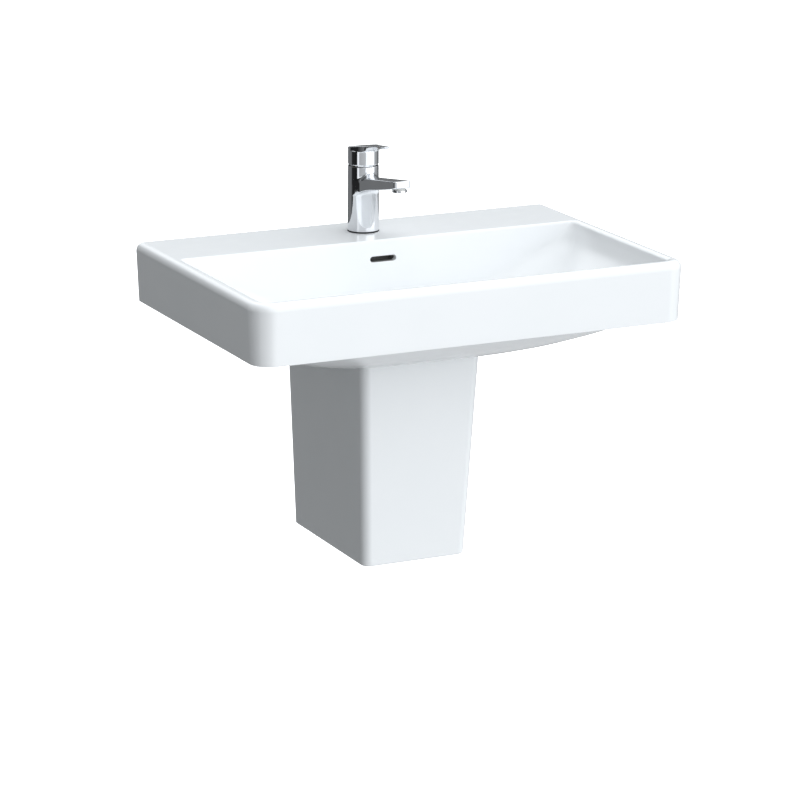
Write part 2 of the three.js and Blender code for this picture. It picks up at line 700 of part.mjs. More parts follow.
function trapParts() {
  const { headTop, headBottom, headRadius, cupBottom, branchZ, pipeRadius } = trap;
  const wasteEnd = -208;
  const wallSide = -drain.y;
  const branchStart = headRadius - 4;
  const branchEnd = headRadius + 26;
  const headCore = join(
    turned([[0, headBottom], [headRadius, headBottom], [headRadius, headTop + 3], [headRadius - 3, headTop], [0, headTop]],
      30),
    rod(pipeRadius + 4, headTop - 2, headTop + 12, 26),
    crossRod(pipeRadius + 3, 0, branchStart, branchEnd, branchZ, 24),
  );
  const head = cut(
    headCore,
    rod(headRadius - 3.5, headBottom - 2, headTop - 4, 26),
    rod(pipeRadius + 0.4, headTop - 6, headTop + 14, 24),
    crossRod(pipeRadius - 0.4, 0, branchStart - 6, branchEnd - 10, branchZ, 20),
    crossRod(pipeRadius + 0.4, 0, branchEnd - 12, branchEnd + 2, branchZ, 20),
  );
  const cup = turned([
    [0, cupBottom],
    [headRadius - 8, cupBottom],
    [headRadius - 1, cupBottom + 7],
    [headRadius - 1, headBottom - 6],
    [headRadius + 1.5, headBottom - 5],
    [headRadius + 1.5, headBottom - 2],
    [headRadius - 4, headBottom - 2],
    [headRadius - 4, cupBottom + 8],
    [headRadius - 9, cupBottom + 3],
    [0, cupBottom + 3],
  ], 30);
  const nutProfile = (outer, inner, lip, z0, z1) => turned([
    [lip, z0],
    [outer - 1, z0],
    [outer, z0 + 1],
    [outer, z1],
    [inner, z1],
    [inner, z0 + 3],
    [lip, z0 + 3],
  ], 26);
  const alongWall = (geometry) => geometry.rotateX(-Math.PI / 2).translate(0, 0, branchZ);
  return {
    trap_inlet_nut: [nutProfile(25, 21.2, pipeRadius + 0.4, wasteEnd - 8, wasteEnd + 12), chrome],
    trap_inlet_seal: [ring(20.8, pipeRadius + 0.4, wasteEnd - 4.6, wasteEnd - gap, 24), rubber],
    trap_inlet_tube: [ring(pipeRadius, pipeRadius - 1.5, -336, wasteEnd - gap, 26), chrome],
    trap_head: [head, chrome],
    trap_cup: [cup, chrome],
    trap_cup_seal: [ring(headRadius - 0.5, headRadius - 3.4, headBottom - 1.7, headBottom - gap, 26), rubber],
    trap_outlet_seal: [alongWall(ring(pipeRadius + 2.6, pipeRadius + 0.4, branchEnd + gap, branchEnd + 3, 20)), rubber],
    trap_outlet_nut: [alongWall(turned([
      [pipeRadius + 0.4, branchEnd + 6.4],
      [22.5, branchEnd + 6.4],
      [23, branchEnd + 5.4],
      [23, branchEnd - 12],
      [pipeRadius + 3.4, branchEnd - 12],
      [pipeRadius + 3.4, branchEnd + 3.3],
      [pipeRadius + 0.4, branchEnd + 3.3],
    ], 26)), chrome],
    trap_outlet_pipe: [alongWall(ring(pipeRadius, pipeRadius - 1.5, branchEnd - 9, wallSide, 24)), chrome],
    trap_wall_rosette: [alongWall(turned([
      [pipeRadius + 0.4, wallSide - 1],
      [34, wallSide - 1],
      [34, wallSide - 3],
      [pipeRadius + 4, wallSide - 11],
      [pipeRadius + 0.4, wallSide - 11],
    ], 30)), chrome],
  };
}

// ---- assembly ----

const product = new THREE.Group();
product.position.z = basin.fixingDrop;

function add(parent, parts) {
  for (const [name, [geometry, finish]] of Object.entries(parts)) {
    const mesh = new THREE.Mesh(closed(geometry), new THREE.MeshStandardMaterial(finish));
    mesh.name = name;
    parent.add(mesh);
  }
}

function place(x, y, z) {
  const group = new THREE.Group();
  group.position.set(x, y, z);
  product.add(group);
  return group;
}

add(product, { basin: [makeBasin(), ceramicWhite], semi_pedestal: [makePedestal(), ceramicWhite] });

for (const [side, sign] of [['left', -1], ['right', 1]]) {
  const fixings = [
    ['basin', basinFixing(), (sign * basin.fixingPitch) / 2, -basin.fixingDrop],
    ['pedestal', pedestalFixing(), sign * lugCentre(), pedestal.lugZ],
  ];
  for (const [owner, pieces, x, z] of fixings) {
    const group = place(x, 0, z);
    group.rotation.x = Math.PI / 2;
    const named = Object.entries(pieces).map(([piece, value]) => [`${owner}_${piece}_${side}`, value]);
    add(group, Object.fromEntries(named));
  }
}

add(place(0, tap.y, 0), { ...tapParts(), ...handleParts() });
add(place(0, drain.y, 0), { ...wasteParts(), ...trapParts() });

export default product;
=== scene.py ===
import json
import math

import bmesh
import bpy
import numpy as np
import openvdb
from mathutils import Matrix, Vector


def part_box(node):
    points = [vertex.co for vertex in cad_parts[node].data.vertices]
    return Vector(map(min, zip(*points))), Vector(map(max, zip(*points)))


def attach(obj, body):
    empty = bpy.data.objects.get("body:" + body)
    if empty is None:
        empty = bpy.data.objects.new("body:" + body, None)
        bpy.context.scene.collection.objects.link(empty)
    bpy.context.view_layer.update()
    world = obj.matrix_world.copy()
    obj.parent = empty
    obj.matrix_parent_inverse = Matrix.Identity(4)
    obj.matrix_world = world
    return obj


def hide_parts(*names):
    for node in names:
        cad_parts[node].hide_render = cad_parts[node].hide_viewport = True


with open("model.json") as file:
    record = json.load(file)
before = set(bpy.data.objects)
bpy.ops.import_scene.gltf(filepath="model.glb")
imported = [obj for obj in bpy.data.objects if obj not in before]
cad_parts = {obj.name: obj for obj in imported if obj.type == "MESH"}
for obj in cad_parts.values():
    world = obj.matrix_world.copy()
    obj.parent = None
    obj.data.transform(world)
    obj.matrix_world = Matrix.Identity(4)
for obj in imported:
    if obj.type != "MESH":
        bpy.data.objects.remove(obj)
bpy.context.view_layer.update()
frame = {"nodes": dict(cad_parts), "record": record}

# Lengths below are millimetres and heights count from the rim top, as a basin maker measures them.
basinLow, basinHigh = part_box("basin")
rimTop = basinHigh[2]
mm = 0.001


def middle(node):
    low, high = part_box(node)
    return [(a + b) / 2 / mm for a, b in zip(low, high)]


def height(node, end):
    return (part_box(node)[end][2] - rimTop) / mm


tapY = middle("tap_base_seal")[1]
drainY = middle("plug_cap")[1]


# ---- mesh helpers ----

def newPiece(name, verts, faces, at=(0, 0, 0)):
    # verts in mm, rim top at height 0
    mesh = bpy.data.meshes.new(name)
    place = Vector(at)
    points = [((Vector(v) + place) * mm) + Vector((0, 0, rimTop)) for v in verts]
    mesh.from_pydata([tuple(p) for p in points], [], faces)
    mesh.update()
    piece = bpy.data.objects.new(name, mesh)
    bpy.context.scene.collection.objects.link(piece)
    faceOut(mesh)
    return piece


def faceOut(mesh):
    bm = bmesh.new()
    bm.from_mesh(mesh)
    bmesh.ops.recalc_face_normals(bm, faces=bm.faces)
    bm.to_mesh(mesh)
    bm.free()


def stackRings(rings, capFirst=True, capLast=True, closeLoop=False):
    # quads between rings of equally many points, with a fan at each closed end
    count = len(rings[0])
    verts = [point for ring in rings for point in ring]
    faces = []
    pairs = len(rings) if closeLoop else len(rings) - 1
    for level in range(pairs):
        low, high = level * count, ((level + 1) % len(rings)) * count
        for i in range(count):
            j = (i + 1) % count
            faces.append((low + i, low + j, high + j, high + i))
    for wanted, level in ((capFirst, 0), (capLast, len(rings) - 1)):
        if wanted and not closeLoop:
            hub = len(verts)
            verts.append(tuple(np.mean(rings[level], axis=0)))
            start = level * count
            faces += [(hub, start + i, start + (i + 1) % count) for i in range(count)]
    return verts, faces


def keepResult(piece):
    # turns the modifiers' result into the piece's own mesh
    graph = bpy.context.evaluated_depsgraph_get()
    result = bpy.data.meshes.new_from_object(piece.evaluated_get(graph))
    piece.modifiers.clear()
    old = piece.data
    piece.data = result
    result.name = piece.name
    bpy.data.meshes.remove(old)


def carve(piece, tools, how="DIFFERENCE"):
    for tool in tools:
        cutter = piece.modifiers.new(tool.name, "BOOLEAN")
        cutter.operation = how
        cutter.solver = "EXACT"
        cutter.object = tool
    keepResult(piece)
    for tool in tools:
        bpy.data.objects.remove(tool)


def smoothOff(piece, angle=35, weighted=True):
    # soft shading that still breaks at real edges
    mesh = piece.data
    mesh.polygons.foreach_set("use_smooth", [True] * len(mesh.polygons))
    mesh.set_sharp_from_angle(angle=math.radians(angle))
    if weighted:
        even = piece.modifiers.new("even shading", "WEIGHTED_NORMAL")
        even.keep_sharp = True


def softened(profile, soft, steps=4):
    # the profile with each corner rounded off by up to soft mm
    if soft <= 0:
        return profile
    result = []
    last = len(profile) - 1
    closed = profile[0][0] > 0 or profile[last][0] > 0
    for i, point in enumerate(profile):
        if not closed and i in (0, last):
            result.append(point)
            continue
        here = Vector(point)
        before = Vector(profile[i - 1]) - here
        after = Vector(profile[(i + 1) % len(profile)]) - here
        reach = min(soft, before.length * 0.45, after.length * 0.45)
        start = here + before.normalized() * reach
        end = here + after.normalized() * reach
        for k in range(steps + 1):
            t = k / steps
            bend = start * (1 - t) ** 2 + here * 2 * t * (1 - t) + end * t ** 2
            result.append(tuple(bend))
    return result


def turned(name, profile, at=(0, 0, 0), soft=0.4, segments=96, along="z"):
    # a lathe piece from [radius, height] points; along y it is laid down with height towards the wall
    points = softened(profile, soft)
    onAxis = profile[0][0] == 0 and profile[-1][0] == 0
    if onAxis:
        points = points[1:-1]
    rings = []
    for radius, rise in points:
        ring = []
        for i in range(segments):
            angle = 2 * math.pi * i / segments
            x, y = radius * math.cos(angle), radius * math.sin(angle)
            ring.append((x, y, rise) if along == "z" else (x, rise, y))
        rings.append(ring)
    verts, faces = stackRings(rings, closeLoop=not onAxis)
    return newPiece(name, verts, faces, at)


def tube(name, outer, inner, low, high, **kw):
    return turned(name, [(inner, low), (outer, low), (outer, high), (inner, high)], **kw)


def rod(name, radius, low, high, **kw):
    return turned(name, [(0, low), (radius, low), (radius, high), (0, high)], **kw)


def brick(name, low, high):
    (x0, y0, z0), (x1, y1, z1) = low, high
    verts = [(x, y, z) for x in (x0, x1) for y in (y0, y1) for z in (z0, z1)]
    faces = [(0, 1, 3, 2), (4, 6, 7, 5), (0, 4, 5, 1), (2, 3, 7, 6), (0, 2, 6, 4), (1, 5, 7, 3)]
    return newPiece(name, verts, faces)


def roundedRing(z, half, front, back, frontRadius, backRadius, arc=14, side=10):
    # a rounded rectangle, counted the same way at every level so that rings join without a twist
    corners = (
        (half - frontRadius, front + frontRadius, frontRadius, -90),
        (half - backRadius, back - backRadius, backRadius, 0),
        (-half + backRadius, back - backRadius, backRadius, 90),
        (-half + frontRadius, front + frontRadius, frontRadius, 180),
    )
    bends = []
    for x, y, radius, start in corners:
        bend = []
        for k in range(arc + 1):
            angle = math.radians(start + 90 * k / arc)
            bend.append((x + radius * math.cos(angle), y + radius * math.sin(angle), z))
        bends.append(bend)
    ring = []
    for i, bend in enumerate(bends):
        ring += bend
        begin, end = Vector(bend[-1]), Vector(bends[(i + 1) % 4][0])
        ring += [tuple(begin.lerp(end, k / side)) for k in range(1, side)]
    return ring


def throughPoints(keys, steps):
    # a smooth run through the key rows (Catmull-Rom), steps rows for each gap
    rows = [np.array(key, dtype=float) for key in keys]
    rows = [2 * rows[0] - rows[1]] + rows + [2 * rows[-1] - rows[-2]]
    result = []
    for i in range(1, len(rows) - 2):
        a, b, c, d = rows[i - 1:i + 3]
        for k in range(steps):
            t = k / steps
            result.append(0.5 * (2 * b + (c - a) * t + (2 * a - 5 * b + 4 * c - d) * t ** 2
                                 + (3 * b - 3 * c + d - a) * t ** 3))
    result.append(rows[-2])
    return result


# ---- distance fields, for cast metal with blended roots ----

def fieldGrid(low, high, step):
    axes = [np.arange(a, b + step, step, dtype=np.float32) for a, b in zip(low, high)]
    return np.meshgrid(*axes, indexing="ij")


def meet(a, b, k=0.001):
    # both at once, the shared edge rounded by about k
    h = np.clip(0.5 - 0.5 * (b - a) / k, 0, 1)
    return b * (1 - h) + a * h + k * h * (1 - h)


def merge(a, b, k=0.001):
    # either one, the inner corner filled by about k
    return -meet(-a, -b, k)


def castPiece(name, field, low, step, at=(0, 0, 0)):
    grid = openvdb.FloatGrid()
    grid.copyFromArray(field.astype(np.float32))
    points, quads = grid.convertToQuads(isovalue=0.0)
    verts = [tuple(v) for v in (points * step + np.array(low))]
    return newPiece(name, verts, [tuple(int(i) for i in quad) for quad in quads], at)


# ---- materials ----

def startMaterial(name):
    material = bpy.data.materials.new(name)
    material.use_nodes = True
    nodes, links = material.node_tree.nodes, material.node_tree.links
    return material, nodes, links, nodes["Principled BSDF"]


def addNoise(nodes, links, scale, detail=3.0, rough=0.5):
    place = nodes.new("ShaderNodeTexCoord")
    noise = nodes.new("ShaderNodeTexNoise")
    noise.inputs["Scale"].default_value = scale
    noise.inputs["Detail"].default_value = detail
    noise.inputs["Roughness"].default_value = rough
    links.new(place.outputs["Object"], noise.inputs["Vector"])
    return noise


def addRange(nodes, links, source, low, high, target):
    spread = nodes.new("ShaderNodeMapRange")
    spread.inputs["From Min"].default_value = 0.3
    spread.inputs["From Max"].default_value = 0.7
    spread.inputs["To Min"].default_value = low
    spread.inputs["To Max"].default_value = high
    links.new(source, spread.inputs["Value"])
    links.new(spread.outputs["Result"], target)


def addBump(nodes, links, source, shader, strength, distance):
    bump = nodes.new("ShaderNodeBump")
    bump.inputs["Strength"].default_value = strength
    bump.inputs["Distance"].default_value = distance
    links.new(source, bump.inputs["Height"])
    links.new(bump.outputs["Normal"], shader.inputs["Normal"])


def addTint(nodes, links, source, dark, light, target):
    ramp = nodes.new("ShaderNodeValToRGB")
    ramp.color_ramp.elements[0].position = 0.3
    ramp.color_ramp.elements[0].color = (*dark, 1)
    ramp.color_ramp.elements[1].position = 0.7
    ramp.color_ramp.elements[1].color = (*light, 1)
    links.new(source, ramp.inputs["Fac"])
    links.new(ramp.outputs["Color"], target)


def glazeMaterial():
    look = {"dark": (0.89, 0.908, 0.918), "light": (0.908, 0.922, 0.932), "waviness": 0.04}
    material, nodes, links, shader = startMaterial("white glaze")
    cloud = addNoise(nodes, links, 7.0)
    addTint(nodes, links, cloud.outputs["Fac"], look["dark"], look["light"], shader.inputs["Base Color"])
    ripple = addNoise(nodes, links, 45.0, 2.0)
    addRange(nodes, links, ripple.outputs["Fac"], 0.1, 0.16, shader.inputs["Roughness"])
    addBump(nodes, links, ripple.outputs["Fac"], shader, look["waviness"], 0.0006)
    shader.inputs["Specular IOR Level"].default_value = 0.35
    shader.inputs["Coat Weight"].default_value = 0.06
    shader.inputs["Coat Roughness"].default_value = 0.03
    return material


def metalMaterial(name, dark, light, roughness, grain=120.0, bump=0.02):
    material, nodes, links, shader = startMaterial(name)
    smudge = addNoise(nodes, links, 18.0, 4.0)
    addTint(nodes, links, smudge.outputs["Fac"], dark, light, shader.inputs["Base Color"])
    addRange(nodes, links, smudge.outputs["Fac"], roughness[0], roughness[1], shader.inputs["Roughness"])
    fine = addNoise(nodes, links, grain, 2.0)
    addBump(nodes, links, fine.outputs["Fac"], shader, bump, 0.0002)
    shader.inputs["Metallic"].default_value = 1.0
    return material


def plasticMaterial(name, dark, light, roughness, bump=0.15):
    material, nodes, links, shader = startMaterial(name)
    cloud = addNoise(nodes, links, 30.0)
    addTint(nodes, links, cloud.outputs["Fac"], dark, light, shader.inputs["Base Color"])
    addRange(nodes, links, cloud.outputs["Fac"], roughness[0], roughness[1], shader.inputs["Roughness"])
    grain = addNoise(nodes, links, 900.0, 2.0)
    addBump(nodes, links, grain.outputs["Fac"], shader, bump, 0.0001)
    return material


finishes = {
    "ceramic": glazeMaterial(),
    "chrome": metalMaterial("polished chrome", (0.74, 0.75, 0.77), (0.8, 0.81, 0.83), (0.03, 0.06)),
    "brass": metalMaterial("machined brass", (0.66, 0.48, 0.22), (0.76, 0.58, 0.3), (0.22, 0.36), 300.0, 0.1),
    "steel": metalMaterial("zinc plated steel", (0.5, 0.5, 0.51), (0.64, 0.64, 0.65), (0.24, 0.4), 300.0, 0.1),
    "rubber": plasticMaterial("black rubber", (0.018, 0.018, 0.019), (0.035, 0.035, 0.037), (0.6, 0.8), 0.3),
    "nylon": plasticMaterial("natural nylon", (0.74, 0.74, 0.71), (0.82, 0.82, 0.79), (0.38, 0.5)),
    # dark material that paints the shade inside the overflow slot and channel
    "overflow_painted_shade": plasticMaterial("overflow painted shade", (0.24, 0.24, 0.235), (0.3, 0.295, 0.29), (0.8, 0.9)),
    "grey_plastic": plasticMaterial("grey plastic", (0.17, 0.18, 0.19), (0.24, 0.25, 0.27), (0.4, 0.55)),
}
print("materials ready")


def settle(piece, node, body="fixed", slot=None, angle=35):
    # finish, shading and place in the frame for a piece that stands for a CAD node
    slotOf = {row["node"]: row["material_slot"] for row in frame["record"]["subparts"]}
    slot = slot or slotOf[node]
    piece.data.materials.clear()
    piece.data.materials.append(finishes[slot])
    smoothOff(piece, angle)
    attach(piece, body)
    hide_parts(node)


# ---- camera, light and floor ----

cameraPlace = {
    "azimuth": -25.4755,  # degrees round from the front, minus is to the left
    "elevation": 14.9661,
    "distance": 5.41246,
    "aim": (-0.014, -0.23, -0.2294),
    "lens": 160.62,
    "roll": 0.186,
}


def makeCamera():
    data = bpy.data.cameras.new("camera")
    data.lens = cameraPlace["lens"]
    data.sensor_width = 36
    data.clip_end = 50
    camera = bpy.data.objects.new("camera", data)
    bpy.context.scene.collection.objects.link(camera)
    turn, rise = math.radians(cameraPlace["azimuth"]), math.radians(cameraPlace["elevation"])
    aim = Vector(cameraPlace["aim"]) + Vector((0, 0, rimTop))
    ahead = Vector((-math.sin(turn) * math.cos(rise), math.cos(turn) * math.cos(rise), -math.sin(rise)))
    camera.location = aim - ahead * cameraPlace["distance"]
    level = ahead.to_track_quat("-Z", "Y").to_matrix() @ Matrix.Rotation(math.radians(cameraPlace["roll"]), 3, "Z")
    camera.rotation_euler = level.to_euler()
    bpy.context.scene.camera = camera


studio = {
    # radiance by compass bearing: (share of a turn from the left, going round by the front, right and back)
    "bearings": (
        (0.0, 0.015), (0.05, 0.015), (0.06, 1.15), (0.09, 1.15), (0.1, 0.5), (0.23, 0.62), (0.25, 1.78),
        (0.42, 1.78), (0.435, 0.5), (0.5, 0.4), (0.56, 0.15), (0.68, 0.18), (0.90, 0.19), (0.93, 0.02),
    ),
    "ceiling": (0.16, 1.72),  # above the left, above the right
    "ceilingFrom": (0.31, 0.43),  # sine of the elevation where the ceiling fades in
    "bounce": (0.16, 0.74),  # from below, on the left and on the right
    "bounceFrom": (-0.32, -0.42),
    "tint": (0.965, 0.995, 1.02),
    "floorDrop": 0.85,
}


def makeRoom():
    # plain white to the eye; lit like a product studio with a dark left, a white front right and a soft ceiling
    world = bpy.data.worlds.new("studio room")
    world.use_nodes = True
    bpy.context.scene.world = world
    nodes, links = world.node_tree.nodes, world.node_tree.links
    nodes.clear()
    output = nodes.new("ShaderNodeOutputWorld")
    seen = nodes.new("ShaderNodeBackground")
    seen.inputs["Color"].default_value = (1, 1, 1, 1)
    around = nodes.new("ShaderNodeBackground")
    place = nodes.new("ShaderNodeTexCoord")
    bearing = nodes.new("ShaderNodeTexGradient")
    bearing.gradient_type = "RADIAL"
    walls = nodes.new("ShaderNodeValToRGB")
    walls.color_ramp.interpolation = "LINEAR"
    stops = studio["bearings"]
    while len(walls.color_ramp.elements) < len(stops):
        walls.color_ramp.elements.new(0.5)
    for element, (spot, value) in zip(walls.color_ramp.elements, stops):
        element.position = spot
        element.color = (value, value, value, 1)
    split = nodes.new("ShaderNodeSeparateXYZ")
    links.new(place.outputs["Generated"], split.inputs["Vector"])

    def ease(source, ends, values):
        spread = nodes.new("ShaderNodeMapRange")
        spread.interpolation_type = "SMOOTHSTEP"
        spread.inputs["From Min"].default_value, spread.inputs["From Max"].default_value = ends
        spread.inputs["To Min"].default_value, spread.inputs["To Max"].default_value = values
        links.new(source, spread.inputs["Value"])
        return spread.outputs["Result"]

    def over(amount, below, above):
        blend = nodes.new("ShaderNodeMix")
        blend.data_type = "RGBA"
        links.new(amount, blend.inputs["Factor"])
        links.new(below, blend.inputs[6])
        links.new(above, blend.inputs[7])
        return blend.outputs[2]

    sides, up = split.outputs["X"], split.outputs["Z"]
    withCeiling = over(ease(up, studio["ceilingFrom"], (0, 1)), walls.outputs["Color"],
                       ease(sides, (-0.65, -0.1), studio["ceiling"]))
    low, high = studio["bounceFrom"][1], studio["bounceFrom"][0]
    room = over(ease(up, (low, high), (1, 0)), withCeiling, ease(sides, (-0.5, 0.1), studio["bounce"]))
    tint = nodes.new("ShaderNodeMix")
    tint.data_type = "RGBA"
    tint.blend_type = "MULTIPLY"
    tint.inputs["Factor"].default_value = 1
    tint.inputs[7].default_value = (*studio["tint"], 1)
    path = nodes.new("ShaderNodeLightPath")
    choose = nodes.new("ShaderNodeMixShader")
    links.new(place.outputs["Generated"], bearing.inputs["Vector"])
    links.new(bearing.outputs["Fac"], walls.inputs["Fac"])
    links.new(room, tint.inputs[6])
    links.new(tint.outputs[2], around.inputs["Color"])
    links.new(path.outputs["Is Camera Ray"], choose.inputs["Fac"])
    links.new(around.outputs["Background"], choose.inputs[1])
    links.new(seen.outputs["Background"], choose.inputs[2])
    links.new(choose.outputs["Shader"], output.inputs["Surface"])


def makeFloor():
    level = rimTop - studio["floorDrop"]
    mesh = bpy.data.meshes.new("floor")
    reach = 30
    mesh.from_pydata([(-reach, -reach, level), (reach, -reach, level), (reach, reach, level),
                      (-reach, reach, level)], [], [(0, 1, 2, 3)])
    floor = bpy.data.objects.new("floor", mesh)
    bpy.context.scene.collection.objects.link(floor)
    material, nodes, links, shader = startMaterial("pale floor")
    cloud = addNoise(nodes, links, 1.5)
    addTint(nodes, links, cloud.outputs["Fac"], (0.9, 0.9, 0.9), (0.92, 0.92, 0.92), shader.inputs["Base Color"])
    shader.inputs["Roughness"].default_value = 0.9
    shader.inputs["Emission Color"].default_value = (1, 1, 1, 1)
    shader.inputs["Emission Strength"].default_value = 0.8
    mesh.materials.append(material)
    floor.visible_diffuse = False
    floor.visible_glossy = False


makeCamera()
makeRoom()
makeFloor()
bpy.context.scene.view_settings.view_transform = "Standard"
bpy.context.scene.view_settings.look = "None"
print("camera, light and floor ready")


# ---- basin ----

basinShape = {
    "half": (basinHigh[0] - basinLow[0]) / 2 / mm,
    "depth": (basinHigh[1] - basinLow[1]) / mm,
    "apron": 91.5,
    "lean": 0.042,  # inward lean of sides and front, per mm
    "rimSoft": 12,
    "backSoft": 3,
    "frontCorner": 34,
    "backCorner": 4,
    "rim": 20,
    "deck": 138,
    "edgeSoft": 4.5,  # rounding where rim and deck turn down into the bowl, and how wide it is
    "edgeWide": {"side": 7.5, "front": 4.5, "back": 2.5},
    "wall": 13,
    "deckThick": 14,
}
bellyShape = {"y": -237.8, "half": 330, "halfDepth": 216, "depth": 68, "power": 4.3, "bulge": 1.9, "lip": 0.92}
drainShape = {"bore": 23, "seat": 33.5, "seatZ": -128.5, "spotZ": -156, "spot": 36}

# depth under the rim, then how far the side, front and back have come in, then the two corner radii
bowlKeys = (
    (15, 6, 2, 0.6, 18, 18),
    (31, 15, 5, 1.5, 27, 30),
    (45, 31, 9, 2.5, 38, 44),
    (61, 53, 13, 4.5, 50, 60),
    (79, 80, 17, 7, 62, 78),
    (94, 104, 22, 11, 70, 84),
    (104, 126, 32, 17, 74, 80),
    (111, 152, 50, 24, 70, 74),
    (117, 196, 92, 31, 58, 62),
    (123, 246, 158, 36, 44, 48),
)


def apronRing(z, inset):
    s = basinShape
    backInset = s["backSoft"] * min(inset / s["rimSoft"], 1) if z > -s["rimSoft"] else 0
    return roundedRing(z, s["half"] - inset, -s["depth"] + inset, -backInset,
                       s["frontCorner"] - inset, max(s["backCorner"] - backInset, 1))


def bellyRing(share, z, grow=0.0):
    b = bellyShape
    ring = []
    for x, y, _ in apronRing(-basinShape["apron"], basinShape["lean"] * 80):
        across, along = x / (b["half"] + grow), (y - b["y"]) / (b["halfDepth"] + grow)
        size = (abs(across) ** b["power"] + abs(along) ** b["power"]) ** (1 / b["power"])
        ring.append((x / size * share, b["y"] + (y - b["y"]) / size * share, z))
    return ring


def bellyRings(grow=0.0):
    b = bellyShape
    shares = [1 - (1 - k / 26) ** 1.25 for k in range(1, 27)]
    rings = []
    for share in shares:
        drop = b["depth"] * max(1 - share ** b["bulge"], 0) ** b["lip"]
        rings.append(bellyRing(share, -basinShape["apron"] - drop - grow, grow))
    return rings


def bowlRings():
    s, d = basinShape, drainShape
    half, front, back = s["half"] - s["rim"], -s["depth"] + s["rim"], -s["deck"]
    soft = s["edgeSoft"]

    def at(down, side, ahead, behind, frontRadius, backRadius):
        return roundedRing(-down, half - side, front + ahead, back - behind, frontRadius, backRadius)

    seat = d["seat"] + 0.5
    keys = [(soft, 1.8, 0.6, 0.15, 14, 11), *bowlKeys,
            (126.5, half - seat - 6, drainY - seat - 6 - front, back - drainY - seat - 6, seat + 6, seat + 6)]
    rings = [at(*row) for row in throughPoints(keys, 5)]
    rings.append(roundedRing(-127.2, seat + 0.6, drainY - seat - 0.6, drainY + seat + 0.6, seat + 0.6, seat + 0.6))
    rings.append(roundedRing(-128, seat, drainY - seat, drainY + seat, seat, seat))
    rings.append(roundedRing(d["seatZ"], seat - 0.5, drainY - seat + 0.5, drainY + seat - 0.5,
                             seat - 0.5, seat - 0.5))
    rings.reverse()
    wide = s["edgeWide"]
    for k in range(1, 8):
        angle = math.radians(90 * k / 7)
        share = 1 - math.cos(angle)
        side, ahead, behind = (wide[way] * share - pull * (1 - k / 7)
                               for way, pull in (("side", 1.8), ("front", 0.6), ("back", 0.15)))
        rings.append(roundedRing(-soft * (1 - math.sin(angle)), half + side, front - ahead, back + behind,
                                 14 + ahead, 11 + behind))
    return rings


def outerRings():
    s = basinShape
    rings = []
    for k in range(9):
        angle = math.radians(90 * (1 - k / 8))
        rings.append(apronRing(-s["rimSoft"] * (1 - math.sin(angle)), s["rimSoft"] * (1 - math.cos(angle))))
    low = s["apron"] - s["rimSoft"]
    for share in (0.33, 0.66, 0.985):
        rings.append(apronRing(-s["rimSoft"] - low * share, s["lean"] * low * share))
    bottom = s["lean"] * low
    rings.append(apronRing(-s["apron"] + 0.3, bottom + 0.3))
    rings.append(apronRing(-s["apron"], bottom + 1.2))
    return rings


def slotCutter(width, tall, y0, y1, z):
    reach, radius = (width - tall) / 2, tall / 2
    outline = []
    for k in range(25):
        angle = math.radians(-90 + 180 * k / 24)
        outline.append((reach + radius * math.cos(angle), radius * math.sin(angle)))
    outline += [(-x, -y) for x, y in outline]
    rings = [[(x, y, z + v) for x, v in outline] for y in (y0, y1)]
    verts, faces = stackRings(rings)
    return newPiece("slot cutter", verts, faces)


overflowShape = {
    "slotWide": 44, "slotTall": 9, "slotZ": -29.5,
    "channelHalf": 22, "channelLow": -127, "channelTop": -26,
    "ductSlope": (16, 67), "ductY": -0.162, "ductDrop": 0.1315,
}


def makeBasin():
    s, d, o = basinShape, drainShape, overflowShape
    rings = bowlRings() + outerRings() + list(reversed(bellyRings()))
    verts, faces = stackRings(rings)
    piece = newPiece("glazed_basin", verts, faces)
    inside = s["half"] - s["wall"] - 4
    front = -s["deck"] + s["wall"]
    ridgeBack = front + 18
    recess = brick("recess", (-inside, front, -200), (inside, -s["wall"], -s["deckThick"]))
    roundEdges(recess, 7)
    carve(piece, [recess])
    carve(piece, [brick("ridge", (-34, front - 2, -141), (34, ridgeBack, -s["deckThick"] + 2))], "UNION")
    tools = [
        brick("channel", (-o["channelHalf"], front - 5, o["channelLow"]),
              (o["channelHalf"], ridgeBack - 6, o["channelTop"])),
        slotCutter(o["slotWide"], o["slotTall"], -s["deck"] - 6, front + 4, o["slotZ"]),
        rod("bore", d["bore"], -170, -120, at=(0, drainY, 0), soft=0),
        rod("spot", d["spot"], -170, d["spotZ"], at=(0, drainY, 0), soft=0),
        rod("tap hole", 17.5, -20, 5, at=(0, tapY, 0), soft=0),
    ]
    duct = brick("duct", (-15, -36, -5), (15, 36, 5))
    tilt = Matrix.Rotation(math.atan2(*o["ductSlope"]), 4, "X")
    toOrigin = Matrix.Translation(-Vector((0, 0, rimTop)))
    toPlace = Matrix.Translation(Vector((0, o["ductY"], rimTop - o["ductDrop"])))
    duct.data.transform(toPlace @ tilt @ toOrigin)
    tools.append(duct)
    for side in ("left", "right"):
        x, _, z = middle("basin_stud_" + side)
        tools.append(rod("stud hole", 10, -s["wall"] - 3, 3, at=(x, 0, z - rimTop / mm), soft=0, along="y"))
    carve(piece, tools)
    settle(piece, "basin", angle=32)
    # the overflow walls get a dark material that paints the shade inside the slot and channel; the round ends of
    # the slot keep the glaze
    piece.data.materials.append(finishes["overflow_painted_shade"])
    for face in piece.data.polygons:
        x, y, z = face.center / mm
        z -= rimTop / mm
        inChannel = abs(x) < 22.5 and front - 5.5 < y < ridgeBack - 5.5 and -128 < z < -25.5
        inSlot = abs(face.normal.z) > 0.7 and abs(x) < 18 and -s["deck"] - 3 < y < front + 1 and -35 < z < -24
        # faces deep in the overflow take the painted shade material
        if inChannel or inSlot:
            face.material_index = 1


def roundEdges(piece, width, segments=4):
    bevel = piece.modifiers.new("round edges", "BEVEL")
    bevel.width = width * mm
    bevel.segments = segments
    keepResult(piece)


makeBasin()
print("basin ready")


